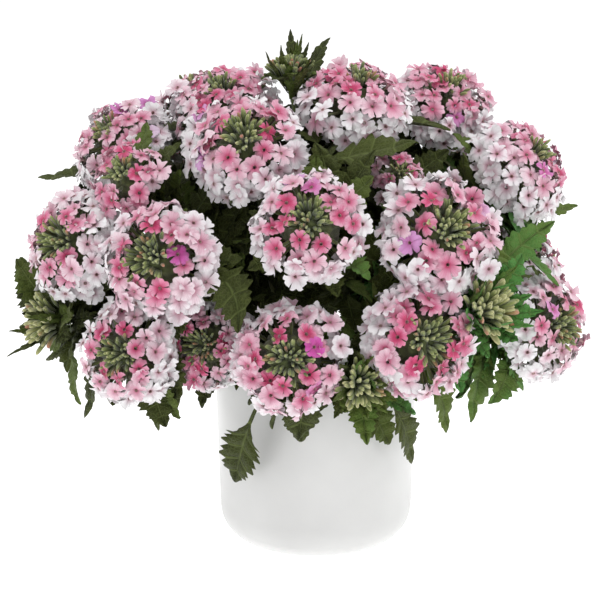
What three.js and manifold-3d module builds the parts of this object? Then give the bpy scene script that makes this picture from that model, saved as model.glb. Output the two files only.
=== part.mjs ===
// A potted verbena: a mound of leafy stems that end in domed heads of five-petalled florets, white in the
// outer ring and pink in the inner one round a green tuft of buds. It grows in the soil of a plain white pot.
// Millimetres, +Z up. The origin is the middle of the pot's base, and the front of the plant faces -Y.

import * as THREE from "three";
import { mergeVertices } from "three/addons/utils/BufferGeometryUtils.js";
import Module from "manifold-3d";

const wasm = await Module();
wasm.setup();

// Pot and soil.
const POT_HEIGHT = 110;
const POT_RIM_RADIUS = 61;
const POT_FOOT_RADIUS = 57; // where the straight wall would meet the surface that the pot stands on
const POT_CORNER = 22; // radius of the rounded foot
const POT_WALL = 3.6;
const POT_SIDES = 24;
const SOIL_TOP = 99;
const SOIL_CROWN = 4; // how much higher the soil is in the middle
const FIT_GAP = 0.35; // between pieces that touch in the real plant
const SLIVER = 0.03; // edges shorter than this are left out where solids are joined

// The mound: an ellipsoid through the faces of the flower heads.
const MOUND_CENTRE = new THREE.Vector3(-9, 0, 165);
const MOUND_REACH = new THREE.Vector3(178, 146, 126);

// A flower head, about its own origin and upward axis. Angles are polar, from the axis, in degrees.
const HEAD_FLATTEN = 0.84;
const HEAD_DOME = 31; // how far the petals are from the head's origin
const YOUNG_DOME = 21;
const OUTER_RING = { count: 8, from: 54, to: 88, collar: 13, hole: 3.1, holeHeight: 0.5, dome: 31 };
const INNER_RING = { count: 6, from: 24, to: 50, collar: 16, hole: 4.55, holeHeight: 8.2, dome: 30 };
const YOUNG_RING = { count: 6, from: 30, to: 82, collar: 12, hole: 4.2, holeHeight: 2.5, dome: 21 };
const PETALS = 5;
const PETAL_TIP = 1.12; // tips and notches, as shares of the room that a floret has
const PETAL_NOTCH = 0.52;
const FLORET_DEPTH = 3.4; // how far a floret's throat is sunk below its petals

// Tufts of buds: a neck that flares into spikes.
const HEAD_TUFT = { spikes: 6, neck: 4.25, width: 9.2, neckTop: 10.5, brim: 20.5, splay: 10.2, tip: 27.5 };
const TUFT_FOOT = 9; // how far below the head's origin a tuft's pointed foot is
const YOUNG_TUFT = { spikes: 6, neck: 4.25, width: 6.6, neckTop: 7, brim: 12.5, splay: 7, tip: 19 };
const BUD_CLUSTER = { spikes: 8, neck: 2.6, width: 10.5, neckTop: 2, brim: 7, splay: 9.5, tip: 16 };

// Stems and leaves.
const STEM_RADIUS = 2.2;
const BRANCH_RADIUS = 1.5;
const BRANCH_STEPS = 3; // straight lengths of a branch
const JOINT_PLACES = [0.25, 0.5, 0.75]; // of the leaves on each length
const STALK_RADIUS = 1.1;
const STEM_DEPTH = 38; // of a stem in the soil
const ROOT_CIRCLE = 22; // radius of the circle on which the stems leave the soil
const FORK_CIRCLE = 44;
const FORK_HEIGHT = 136;
const LEAF_THICKNESS = 1.7; // at the midrib
const LEAF_LIFT = 0.16; // of the edges, as a share of their distance from the rib
const SHORTEST_STALK = 0.15; // as a share of a leaf's length
const LONGEST_BLADE = 50;
const LEAF_FOOT_VOLUME = 20; // of a leaf's foot where it is sunk in its stem, at most
const LEAF_CLEARANCE = 0.4; // from other stems, the heads and the pot
const LEAF_UPWARD = 0.6; // how much a leaf's face looks up rather than out
const LONGEST_STALK = 56;
const LEAF_PLACES = 25; // round the mound for the leaves that fill it
const LEAF_HEADINGS = [-90, -60, -120, -30, -150, 0, 180, 35, 145, 90]; // degrees, tried in this order
const LEAF_SPAN = 19; // degrees of the mound that a leaf reaches over
const GOLDEN_ANGLE = 137.508;

// Directions are [azimuth, elevation] in degrees: azimuth 0 faces the front and grows to the right. at is
// where the head's face is on the mound, reach is how far out that is as a share of the mound's reach, and
// faces is the way the head looks.
const STEMS = [
  {
    name: "front_left",
    azimuth: -26,
    heads: [
      { at: [-2.5, -9], faces: [-4, 12], size: 0.96 },
      { at: [-37, -11], faces: [-27, 8], size: 0.88 },
      { at: [-25, -13], faces: [-18, 8], size: 0.78, reach: 0.78 },
      { at: [-30, 16], faces: [-23, 19], size: 0.98 },
      { at: [-18, 53], faces: [-8, 46], size: 1.0 },
    ],
    youngHeads: [{ at: [-47, 37], faces: [-35, 35], size: 0.95 }],
    buds: [],
  },
  {
    name: "front_right",
    azimuth: 34,
    heads: [
      { at: [2, 27], faces: [1, 26], size: 0.93 },
      { at: [24, -5], faces: [20, 13], size: 0.96 },
      { at: [31, 24], faces: [19, 30], size: 1.04 },
      { at: [34, 71], faces: [20, 68], size: 1.0, reach: 1.05 },
    ],
    youngHeads: [{ at: [38, 47], faces: [20, 35], size: 0.75, reach: 0.77 }],
    buds: [
      { at: [12, -18], faces: [12, 4], size: 1.0 },
      { at: [-10, 79], faces: [-10, 84], size: 0.9, reach: 1.09 },
    ],
  },
  {
    name: "left",
    azimuth: -88,
    heads: [
      { at: [-57, 16], faces: [-46, 16], size: 0.94 },
      { at: [-72, 47], faces: [-42, 40], size: 0.92 },
      { at: [-52, 70], faces: [-20, 56], size: 0.92 },
      { at: [-100, 8], faces: [-100, 14], size: 0.94, reach: 0.92 },
    ],
    youngHeads: [],
    buds: [{ at: [-63, -7], faces: [-55, 8], size: 1.1 }],
  },
  {
    name: "right",
    azimuth: 80,
    heads: [
      { at: [62, -8], faces: [52, 11], size: 0.94 },
      { at: [72, 38], faces: [58, 42], size: 0.97, reach: 1.05 },
      { at: [92, 61], faces: [30, 56], size: 0.93, reach: 1.05 },
    ],
    youngHeads: [],
    buds: [{ at: [39, 2], faces: [36, 22], size: 1.2 }],
  },
  {
    name: "back_right",
    azimuth: 138,
    heads: [
      { at: [117, -4], faces: [116, 14], size: 1.0 },
      { at: [126, 26], faces: [126, 30], size: 1.0 },
      { at: [146, -6], faces: [146, 14], size: 1.04 },
      { at: [156, 62], faces: [156, 60], size: 1.04 },
    ],
    youngHeads: [],
    buds: [],
  },
  {
    name: "back_left",
    azimuth: -158,
    heads: [
      { at: [166, 24], faces: [166, 28], size: 1.0 },
      { at: [-173, -6], faces: [-173, 14], size: 1.0 },
      { at: [-146, 22], faces: [-146, 28], size: 1.04 },
      { at: [-128, 60], faces: [-128, 56], size: 1.04 },
      { at: [-130, -7], faces: [-130, 14], size: 1.0 },
    ],
    youngHeads: [],
    buds: [],
  },
];

// Leaves that show on the front. over and tip are places of the mound: azimuth, elevation and reach.
const FRONT_LEAVES = [
  { over: [-15, -34, 0.86], tip: [-32, -66, 1.01], width: 28, teeth: 5 },
  { over: [2, -28, 0.84], tip: [-1, -42, 0.92], width: 26 },
  { over: [29, -32, 0.83], tip: [49, -60, 0.97], width: 19 },
  { over: [-38, -26, 0.84], tip: [-42, -42, 0.93], width: 18 },
  { over: [-58, -26, 0.84], tip: [-65, -38, 1.0], width: 16 },
  { over: [-70, -20, 0.82], tip: [-80, -24, 0.95], width: 15 },
  { over: [-80, 34, 0.88], tip: [-92, 27, 0.99], width: 14 },
  { over: [38, -26, 0.85], tip: [42, -42, 0.94], width: 20 },
  { over: [54, -16, 0.82], tip: [65, -31, 0.94], width: 18 },
  { over: [76, -20, 0.84], tip: [86, -22, 0.97], width: 12, teeth: 3 },
  { over: [52, 14, 0.82], tip: [64, 20, 0.97], width: 18 },
  { over: [60, 14, 0.82], tip: [64, 2, 0.93], width: 14 },
  { over: [80, 20, 0.86], tip: [90, 19, 0.98], width: 12, teeth: 3 },
  { over: [12, 46, 0.8], tip: [4, 50, 0.95], width: 18 },
  { over: [14, 40, 0.78], tip: [22, 48, 0.93], width: 18 },
  { over: [58, 38, 0.78], tip: [50, 44, 0.94], width: 18 },
  { over: [-16, 84, 1.02], tip: [-60, 88, 1.16], width: 9, teeth: 3 },
  { over: [20, 86, 1.02], tip: [95, 85, 1.12], width: 9, teeth: 3 },
];

const MATERIALS = {
  pot: new THREE.MeshStandardMaterial({ color: 0xf2f2f0, roughness: 0.35, metalness: 0 }),
  soil: new THREE.MeshStandardMaterial({ color: 0x2c2019, roughness: 1, metalness: 0 }),
  green: new THREE.MeshStandardMaterial({ color: 0x4c6b2c, roughness: 0.75, metalness: 0 }),
  white: new THREE.MeshStandardMaterial({ color: 0xf3ecee, roughness: 0.7, metalness: 0 }),
  pink: new THREE.MeshStandardMaterial({ color: 0xe07a9c, roughness: 0.7, metalness: 0 }),
};

const UP = new THREE.Vector3(0, 0, 1);
const { clamp, degToRad, lerp, radToDeg } = THREE.MathUtils;

// A repeatable stream of numbers from 0 to 1.
function draws(seed) {
  let state = (seed * 7919 + 12345) >>> 0;
  return () => {
    state = (Math.imul(1664525, state) + 1013904223) >>> 0;
    return state / 4294967296;
  };
}

function direction([azimuth, elevation]) {
  const a = degToRad(azimuth);
  const e = degToRad(elevation);
  return new THREE.Vector3(Math.sin(a) * Math.cos(e), -Math.cos(a) * Math.cos(e), Math.sin(e));
}

function onMound(angles, reach) {
  return direction(angles).multiply(MOUND_REACH).multiplyScalar(reach).add(MOUND_CENTRE);
}

// A closed surface, collected as points and as triangles that face out.
class Shell {
  points = [];
  corners = [];

  point({ x, y, z }) {
    this.points.push(x, y, z);
    return this.points.length / 3 - 1;
  }

  face(a, b, c) {
    this.corners.push(a, b, c);
  }

  quad(a, b, c, d) {
    this.face(a, b, c);
    this.face(a, c, d);
  }

  geometry() {
    const made = new THREE.BufferGeometry();
    made.setAttribute("position", new THREE.Float32BufferAttribute(this.points, 3));
    made.setIndex(this.corners);
    return made;
  }
}

function solidOf(geometry) {
  const bare = new THREE.BufferGeometry();
  bare.setAttribute("position", geometry.getAttribute("position"));
  bare.setIndex(geometry.index);
  const merged = mergeVertices(bare, 1e-3);
  return new wasm.Manifold(
    new wasm.Mesh({
      numProp: 3,
      vertProperties: new Float32Array(merged.attributes.position.array),
      triVerts: new Uint32Array(merged.index.array),
    }),
  );
}

function geometryOf(solid) {
  const { vertProperties, triVerts } = solid.getMesh();
  const made = new THREE.BufferGeometry();
  made.setAttribute("position", new THREE.BufferAttribute(vertProperties, 3));
  made.setIndex([...triVerts]);
  return made;
}

// The outer surface of a solid's main body, without scraps and slivers and with the hollows inside it filled.
function wholeBody(solid) {
  const shells = solid.simplify(SLIVER).decompose();
  return shells.reduce((a, b) => (a.volume() > b.volume() ? a : b));
}

function touches(a, b) {
  const p = a.boundingBox();
  const q = b.boundingBox();
  const apart = [0, 1, 2].some((i) => p.min[i] > q.max[i] || q.min[i] > p.max[i]);
  return !apart && !a.intersect(b).isEmpty();
}

const verbena = new THREE.Group();

function addMesh(name, geometry, material) {
  geometry.computeVertexNormals();
  const mesh = new THREE.Mesh(geometry, material);
  mesh.name = name;
  verbena.add(mesh);
  return mesh;
}

// The pot's outline, or one inside it, from the foot's flat up to a height on the wall. angles are the steps
// of the rounded foot.
function potWall(inset, top, angles) {
  const slope = (POT_RIM_RADIUS - POT_FOOT_RADIUS) / POT_HEIGHT;
  const corner = POT_CORNER - inset;
  const middle = POT_FOOT_RADIUS - POT_CORNER;
  const foot = angles.map((angle) => {
    const z = POT_CORNER - corner * Math.cos(degToRad(angle));
    return new THREE.Vector2(middle + corner * Math.sin(degToRad(angle)) + slope * z, z);
  });
  return [...foot, new THREE.Vector2(POT_FOOT_RADIUS - inset + slope * top, top)];
}

function turned(outline) {
  return new THREE.LatheGeometry(outline, POT_SIDES).rotateX(Math.PI / 2);
}

function potGeometry() {
  const lip = POT_WALL / 2;
  const outside = potWall(0, POT_HEIGHT - lip, [0, 30, 60, 90]);
  const inside = potWall(POT_WALL, POT_HEIGHT - lip, [0, 45, 90]).reverse();
  const crest = new THREE.Vector2(outside.at(-1).x - lip, POT_HEIGHT);
  return turned([new THREE.Vector2(0, 0), ...outside, crest, ...inside, new THREE.Vector2(0, POT_WALL)]);
}

function soilSolid() {
  const inset = POT_WALL + FIT_GAP;
  const wall = potWall(inset, SOIL_TOP, [0, 45, 90]);
  const hump = new THREE.Vector2(wall.at(-1).x * 0.6, SOIL_TOP + SOIL_CROWN * 0.75);
  const crown = new THREE.Vector2(0, SOIL_TOP + SOIL_CROWN);
  let soil = solidOf(turned([new THREE.Vector2(0, inset), ...wall, hump, crown]));
  for (const stem of STEMS) {
    const hole = tube(new THREE.LineCurve3(...rootEnds(stem)), STEM_RADIUS + FIT_GAP * 1.5, 1);
    soil = soil.subtract(solidOf(hole));
  }
  return soil;
}

// A square stem along a curve.
function tube(path, radius, steps) {
  const section = new THREE.Shape();
  section.moveTo(radius, 0).lineTo(0, radius).lineTo(-radius, 0).lineTo(0, -radius).closePath();
  return new THREE.ExtrudeGeometry(section, { extrudePath: path, steps, curveSegments: 1 });
}

// The straight part of a main stem, from its end in the soil to above the surface.
function rootEnds({ azimuth }) {
  const foot = direction([azimuth, 0]).multiplyScalar(ROOT_CIRCLE);
  return [foot.clone().setZ(SOIL_TOP - STEM_DEPTH), foot.clone().setZ(SOIL_TOP + SOIL_CROWN + 2)];
}

function forkOf({ azimuth }) {
  return direction([azimuth, 0]).multiplyScalar(FORK_CIRCLE).setZ(FORK_HEIGHT);
}

// The curve of a branch from its fork to the underside of what it carries.
function branchPath(stem, { axis, origin, size }) {
  const fork = forkOf(stem);
  const end = origin.clone().addScaledVector(axis, -5 * size);
  const rise = fork.clone().sub(rootEnds(stem)[1]).normalize();
  const leave = end.clone().sub(fork).normalize().add(rise).normalize();
  const pull = fork.distanceTo(end) * 0.36;
  const bends = [fork.clone().addScaledVector(leave, pull), end.clone().addScaledVector(axis, -pull)];
  return new THREE.CubicBezierCurve3(fork.clone().addScaledVector(rise, -1.5), ...bends, end);
}

// Where a head or tuft stands: its origin is under its face by its own height.
function standing({ at, faces, size = 1, reach = 1 }, height) {
  const axis = direction(faces);
  const origin = onMound(at, reach).addScaledVector(axis, -height * size);
  return { axis, origin, size };
}

function placed(geometry, { axis, origin, size }) {
  const turn = new THREE.Quaternion().setFromUnitVectors(UP, axis);
  const scale = new THREE.Vector3(size, size, size);
  return geometry.applyMatrix4(new THREE.Matrix4().compose(origin, turn, scale));
}

// A point of a head's dome, with angles in degrees.
function domePoint(polar, round, distance) {
  const dome = new THREE.Vector3().setFromSphericalCoords(distance, degToRad(polar), degToRad(round));
  return new THREE.Vector3(dome.z, dome.x, dome.y * HEAD_FLATTEN);
}

// A ring of florets. Each stands on its own facet of a narrow collar and opens into five petals.
function floretRing({ count, from, to, collar, hole, holeHeight, dome }, random) {
  const shell = new Shell();
  const step = 360 / count;
  const edges = Array.from({ length: count }, (_, i) => {
    const round = (i - 0.5) * step;
    const r = degToRad(round);
    return {
      top: shell.point(domePoint(from + 1.5, round, collar)),
      bottom: shell.point(domePoint(to - 1.5, round, collar)),
      inside: shell.point({ x: hole * Math.cos(r), y: hole * Math.sin(r), z: holeHeight }),
    };
  });
  for (let i = 0; i < count; i++) {
    const here = edges[i];
    const next = edges[(i + 1) % count];
    shell.quad(here.top, next.top, next.inside, here.inside);
    shell.quad(here.inside, next.inside, next.bottom, here.bottom);
    const facet = [here.bottom, next.bottom, next.top, here.top];
    const room = {
      round: i * step,
      polar: (from + to) / 2,
      halfRound: step / 2 - 1,
      halfPolar: (to - from) / 2 - 0.7,
    };
    addFloret(shell, facet, room, dome + lerp(-1.1, 1.1, random()), random);
  }
  return shell.geometry();
}

// facet holds the collar's corners, anticlockwise from the one that is lowest and first round the ring.
function addFloret(shell, facet, { round, polar, halfRound, halfPolar }, distance, random) {
  const spin = random() * 72;
  const step = 180 / PETALS;
  const count = 2 * PETALS;
  const rim = Array.from({ length: count }, (_, k) => {
    const tip = k % 2 === 0;
    const length = tip ? PETAL_TIP : PETAL_NOTCH;
    const rise = tip ? lerp(-0.4, 0.8, random()) : -1.4;
    const angle = degToRad(spin + k * step);
    const across = clamp(length * Math.cos(angle), -1, 1) * halfRound;
    const along = clamp(length * Math.sin(angle), -1, 1) * halfPolar;
    return shell.point(domePoint(polar - along, round + across, distance + rise));
  });
  const throat = shell.point(domePoint(polar, round, distance - FLORET_DEPTH));
  const nearestCorner = (angle) => (Math.round((angle - 225) / 90) + 8) % 4;
  for (let k = 0; k < count; k++) {
    const before = nearestCorner(spin + (k - 0.5) * step);
    const after = nearestCorner(spin + (k + 0.5) * step);
    shell.face(facet[after], rim[(k + 1) % count], rim[k]);
    if (before !== after) shell.face(facet[before], facet[after], rim[k]);
    shell.face(throat, rim[k], rim[(k + 1) % count]);
  }
}

// The green middle of a head, or a cluster of buds on its own.
function budTuft({ spikes, neck, width, neckTop, brim, splay, tip }) {
  const shell = new Shell();
  const ringAt = (radius, z, turn = 0.5) =>
    Array.from({ length: spikes }, (_, k) => {
      const a = ((k + turn) / spikes) * 2 * Math.PI;
      return shell.point({ x: radius * Math.cos(a), y: radius * Math.sin(a), z });
    });
  const foot = shell.point({ x: 0, y: 0, z: -TUFT_FOOT });
  const high = ringAt(neck, neckTop);
  const edge = ringAt(width, brim);
  const inner = ringAt(width * 0.42, brim + 2);
  const outerTips = ringAt(splay, tip - 1.5, 1);
  const top = shell.point({ x: 0, y: 0, z: tip });
  for (let k = 0; k < spikes; k++) {
    const next = (k + 1) % spikes;
    shell.face(foot, high[next], high[k]);
    shell.quad(high[k], high[next], edge[next], edge[k]);
    shell.face(edge[k], edge[next], outerTips[k]);
    shell.face(edge[next], inner[next], outerTips[k]);
    shell.face(inner[next], inner[k], outerTips[k]);
    shell.face(inner[k], edge[k], outerTips[k]);
    shell.face(inner[k], inner[next], top);
  }
  return shell.geometry();
}

// A toothed leaf that leaves its stem at foot, passes by over and ends at tip. It is thick at the midrib and
// fine at the edge, and its halves are lifted a little. upper is the side that its face looks to, and extra
// makes it larger all round.
function leafGeometry({ foot, over, tip, upper, width, teeth }, extra = 0) {
  const middle = new THREE.QuadraticBezierCurve3(foot, over, tip);
  const across = upper.clone().cross(tip.clone().sub(foot)).normalize();
  const start = Math.max(SHORTEST_STALK, 1 - LONGEST_BLADE / middle.getLength());
  const along = (t) => lerp(start, 1, t);
  const shell = new Shell();
  const place = (t, side, lift) => {
    const face = middle.getTangent(t).cross(across);
    const p = middle.getPoint(t).addScaledVector(across, side).addScaledVector(face, lift);
    return { t, index: shell.point(p) };
  };
  const halfWidth = (t) => (width / 2) * Math.sin(Math.PI * (0.12 + 0.88 * t) ** 0.85) ** 0.9 + extra;
  const point = place(1, 0, 0);
  const edges = [1, -1].map((sign) => {
    const edge = [place(0, sign * (STALK_RADIUS + extra), 0)];
    for (let k = 0; k < teeth; k++) {
      const notch = (k / teeth) * 0.95;
      const tooth = notch + 0.72 / teeth;
      const inner = halfWidth(notch) * 0.64;
      const outer = halfWidth(tooth - 0.05);
      edge.push(place(along(notch), sign * inner, inner * LEAF_LIFT));
      edge.push(place(along(tooth), sign * outer, outer * LEAF_LIFT));
    }
    return [...edge, point];
  });
  const ribs = [1, -1].map((side) => {
    const thick = LEAF_THICKNESS / 2 + extra;
    const root = place(0, 0, side * (STALK_RADIUS + extra));
    return [root, place(along(0.2), 0, side * thick), place(along(0.62), 0, side * thick)];
  });
  for (const [side, rib] of ribs.entries()) {
    for (const [half, edge] of edges.entries()) {
      const face = (...corners) => {
        const [a, b, c] = corners.map((corner) => corner.index);
        if (side === half) shell.face(a, b, c);
        else shell.face(c, b, a);
      };
      let k = 0;
      for (let i = 1; i < edge.length; i++) {
        face(edge[i - 1], rib[k], edge[i]);
        while (k < rib.length - 1 && edge[i].t > (rib[k].t + rib[k + 1].t) / 2) {
          face(edge[i], rib[k], rib[k + 1]);
          k += 1;
        }
      }
    }
  }
  shell.quad(edges[0][0].index, ribs[1][0].index, edges[1][0].index, ribs[0][0].index);
  return shell.geometry();
}

// The green body of one stem before its leaves: trunk, branches, tufts and bud clusters.
function bareStem(stem) {
  const [bottom, top] = rootEnds(stem);
  const fork = forkOf(stem);
  const bend = top.clone().setZ(top.z - 2);
  const parts = [
    solidOf(tube(new THREE.LineCurve3(bottom, top), STEM_RADIUS, 1)),
    solidOf(tube(new THREE.LineCurve3(bend, fork), STEM_RADIUS, 1)),
  ];
  const joints = [bend.clone().lerp(fork, 0.5), bend.clone().lerp(fork, 0.8)];
  const carried = [
    ...stem.heads.map((head) => [standing(head, HEAD_DOME * HEAD_FLATTEN), HEAD_TUFT]),
    ...stem.youngHeads.map((head) => [standing(head, YOUNG_DOME * HEAD_FLATTEN), YOUNG_TUFT]),
    ...stem.buds.map((bud) => [standing(bud, BUD_CLUSTER.tip), BUD_CLUSTER]),
  ];
  for (const [stand, tuft] of carried) {
    const path = branchPath(stem, stand);
    parts.push(solidOf(tube(path, BRANCH_RADIUS, BRANCH_STEPS)), solidOf(placed(budTuft(tuft), stand)));
    const corners = path.getSpacedPoints(BRANCH_STEPS);
    for (let k = 0; k < BRANCH_STEPS; k++) {
      joints.push(...JOINT_PLACES.map((share) => corners[k].clone().lerp(corners[k + 1], share)));
    }
  }
  return { name: stem.name, joints, body: wholeBody(parts.reduce((a, b) => a.add(b))) };
}

// Grows a leaf from the nearest joint, and says whether there was room for it. over and tip are points.
function growLeaf(stems, obstacles, { over, tip, width, teeth }) {
  const nearer = (a, b) => (a.foot.distanceTo(over) < b.foot.distanceTo(over) ? a : b);
  const joints = stems.flatMap((each) => each.joints.map((joint) => ({ stem: each, foot: joint })));
  const { stem, foot } = joints.reduce(nearer);
  if (foot.distanceTo(over) > LONGEST_STALK) return false;
  const upper = over.clone().sub(MOUND_CENTRE).normalize().addScaledVector(UP, LEAF_UPWARD);
  const leaf = { foot, over, tip, upper, width, teeth };
  const room = solidOf(leafGeometry(leaf, LEAF_CLEARANCE));
  const others = stems.filter((other) => other !== stem).map((other) => other.body);
  if ([...obstacles, ...others].some((other) => touches(room, other))) return false;
  if (room.intersect(stem.body).volume() > LEAF_FOOT_VOLUME) return false;
  stem.body = stem.body.add(solidOf(leafGeometry(leaf)));
  stem.joints.splice(stem.joints.indexOf(foot), 1);
  return true;
}

// A leaf that fills the mound at one of the places that are spread evenly round it. It lies along the mound
// under the heads, with its tip in the heading given, where 0 is level and -90 is straight down.
function fillingLeaf(number, heading) {
  const random = draws(number);
  const height = lerp(-0.6, 0.98, (number + 0.5) / LEAF_PLACES);
  const azimuth = number * GOLDEN_ANGLE;
  const elevation = radToDeg(Math.asin(height));
  const level = Math.cos(degToRad(heading)) / Math.max(Math.cos(degToRad(elevation)), 0.4);
  const tip = [azimuth + LEAF_SPAN * level, elevation + LEAF_SPAN * Math.sin(degToRad(heading))];
  return {
    over: onMound([azimuth, elevation], lerp(0.78, 0.84, random())),
    tip: onMound(tip, lerp(0.84, 0.94, random())),
    width: lerp(20, 27, random()),
    teeth: 3,
  };
}

const pot = potGeometry();
addMesh("pot", pot, MATERIALS.pot);
addMesh("soil", geometryOf(soilSolid()), MATERIALS.soil);

// Every solid that a leaf has to stay clear of, apart from the stems.
const obstacles = [solidOf(pot)];
let headNumber = 0;

function addHead(stand, rings) {
  headNumber += 1;
  const random = draws(headNumber);
  for (const [kind, ring, material] of rings) {
    const geometry = placed(floretRing(ring, random), stand);
    obstacles.push(solidOf(geometry));
    addMesh(`head_${String(headNumber).padStart(2, "0")}_${kind}`, geometry, material);
  }
}

for (const stem of STEMS) {
  for (const head of stem.heads) {
    addHead(standing(head, HEAD_DOME * HEAD_FLATTEN), [
      ["outer_florets", OUTER_RING, MATERIALS.white],
      ["inner_florets", INNER_RING, MATERIALS.pink],
    ]);
  }
  for (const head of stem.youngHeads) {
    addHead(standing(head, YOUNG_DOME * HEAD_FLATTEN), [["florets", YOUNG_RING, MATERIALS.pink]]);
  }
}

const stems = STEMS.map(bareStem);
for (const { over, tip, width, teeth = 4 } of FRONT_LEAVES) {
  growLeaf(stems, obstacles, { over: onMound(over, over[2]), tip: onMound(tip, tip[2]), width, teeth });
}
for (let number = 0; number < LEAF_PLACES; number++) {
  LEAF_HEADINGS.some((heading) => growLeaf(stems, obstacles, fillingLeaf(number, heading)));
}
for (const { name, body } of stems) {
  addMesh(`leafy_stem_${name}`, geometryOf(wholeBody(body)), MATERIALS.green);
}

export default verbena;
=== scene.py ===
"""The looks of the potted verbena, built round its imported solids.

Sizes are in millimetres until a mesh is made, which is in metres. Angles are in degrees. The front of the
plant faces -Y, and azimuth 0 is the front and grows to the right. A pair of numbers is a range that chance
draws from, unless its comment says otherwise.
"""

from types import SimpleNamespace as Record

import bpy
import numpy as np
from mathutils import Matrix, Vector


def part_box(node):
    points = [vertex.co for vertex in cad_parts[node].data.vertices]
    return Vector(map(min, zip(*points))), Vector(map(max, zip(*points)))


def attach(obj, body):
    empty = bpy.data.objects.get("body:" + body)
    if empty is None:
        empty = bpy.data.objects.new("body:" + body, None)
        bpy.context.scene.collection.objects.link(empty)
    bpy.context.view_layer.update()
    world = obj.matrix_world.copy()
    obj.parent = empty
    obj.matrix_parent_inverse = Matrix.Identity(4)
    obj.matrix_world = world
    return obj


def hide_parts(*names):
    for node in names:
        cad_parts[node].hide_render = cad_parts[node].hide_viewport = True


def table(keys, *rows):
    """Rows of values as records with the keys as names."""
    return [Record(**dict(zip(keys.split(), row))) for row in rows]


MM = 0.001
GOLDEN_ANGLE = 137.508
SOIL_SEED = 41
FILLING_SEED = 77
HEAD_SEEDS = 100
STEM_SEEDS = 500

# The pot and its soil, with the source's own outlines
POT_FOOT_RADIUS = 57  # where the straight wall would meet the surface that the pot stands on
POT_CORNER = 22
POT_WALL = 3.6
POT_SIDES = 144
POT_FLAT = 18  # radius of a ring of points in the flat foot
HUB = 0.4  # radius of the innermost ring of a lathed surface
CORNER_STEPS = 14
WALL_LEVELS = 10
SOIL_GAP = 0.4
SOIL_TOP = 99  # at the pot's wall
SOIL_RADIUS = 55
SOIL_CROWN = 4
SOIL_SIDES = 96
SOIL_RINGS = 25
SOIL_CRUMBS = 240
CRUMB_CIRCLE = 52
CRUMB_SIZE = (0.8, 2.4)

# The mound: an ellipsoid through the faces of the flower heads
MOUND_CENTRE = np.array([-9, 0, 165])
MOUND_REACH = np.array([178, 146, 126])

# Flower heads. Polar angles are from a head's axis, and dome is a floret's distance from its origin
HEAD_FLATTEN = 0.84
RING_SPREAD = 25.5  # of the solid outer ring's points from its axis, root mean square, in a head of size 1
RING_HEIGHT = 6.92  # of their middle above the head's origin
YOUNG_SPREAD = 15.06
YOUNG_HEIGHT = 8.1
HEAD_ROOM = 34  # radius that leaves keep out of
YOUNG_ROOM = 23
RING = "polar count dome radius pink"
OUTER_RINGS = table(
    RING,
    (98, 16, 29.0, 7.6, 0.03),
    (82, 16, 30.8, 7.8, 0.06),
    (66, 13, 31.6, 7.7, 0.14),
)
OLD_RINGS = table(
    RING,
    (50, 11, 31.0, 7.4, 0.36),
    (35, 7, 29.8, 6.7, 0.66),
    (21, 5, 29.0, 6.3, 0.5),
)
INNER_RINGS = OLD_RINGS[:2]
YOUNG_RINGS = table(
    RING,
    (82, 10, 20.2, 6.8, 0.25),
    (58, 8, 21.0, 6.5, 0.45),
    (38, 4, 20.4, 5.8, 0.7),
)
RING_TILT = (-5, 5)
RING_SHIFT = (-0.28, 0.28)  # as a share of the step from floret to floret
DOME_DEPTH = (-3.4, 2.4)
UPWARD = 0.55  # how far each floret turns from its own direction towards the head's axis
RESTLESS = 0.34  # how far it turns by chance
OLD_AGE = 0.42  # heads at the top and the sides are the oldest, with fewer buds left; they are also paler, as painted light
PAINTED_LIGHT_PALING = 0.2
PINK_CHANCE = 0.15  # standard deviation of a floret's pink
VIOLET_CHANCE = 0.09  # that a floret is violet, times how pink its ring is
VIOLET = (0.3, 0.7)
FLUSH = (-0.06, 0.12)  # added to the pink of a whole head
CORE_REACH = np.array([15.5, 15.5, 14])
CORE_HEIGHT = 3
CORE_KNOB = 3.2
CORE_KNOBS = 80
CORE_GRID = (20, 34)  # rows and columns of points
YOUNG_CORE = 0.66
WHITE_STOPS = [
    (0.0, 241, 240, 241),
    (0.2, 238, 231, 235),
    (0.45, 228, 196, 208),
    (0.75, 208, 144, 168),
    (1.0, 196, 92, 132),
]
PINK_STOPS = [
    (0.0, 240, 228, 233),
    (0.25, 232, 200, 211),
    (0.5, 222, 166, 186),
    (0.78, 214, 112, 148),
    (1.0, 200, 50, 104),
]

# A floret. Its petals' measures are shares of its radius
PETALS = 5
PETAL_ROWS = 4
PETAL_COLUMNS = 7
THROAT = 0.9  # radius in millimetres
TUBE_RADII = (1.0, 0.75, 0.7)  # in millimetres, from the throat down
CALYX_RADII = (1.3, 1.25, 0.8)
TUBE_SIDES = 6
CALYX_RIDGE = 0.2
FLORET_SIZE = (0.88, 1.1)
PETAL_REACH = (0.9, 1.08)
PETAL_FOOT = 0.12  # half width at the throat
PETAL_HALF = (0.33, 0.47)  # half width added towards the end
PETAL_CUP = (-0.2, 0.3)
PETAL_DROOP = (-0.12, 0.5)
PETAL_TWIST = 0.07
PETAL_WAVE = (0.05, 0.14)
PETAL_WAVES = (3, 5.5)  # radians from the middle to the edge
PETAL_TURN = (-6, 6)
NOTCH_DEPTH = 0.2
NOTCH_WIDTH = 0.26
SHOULDER = 0.32  # how much shorter a petal's edges are

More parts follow.
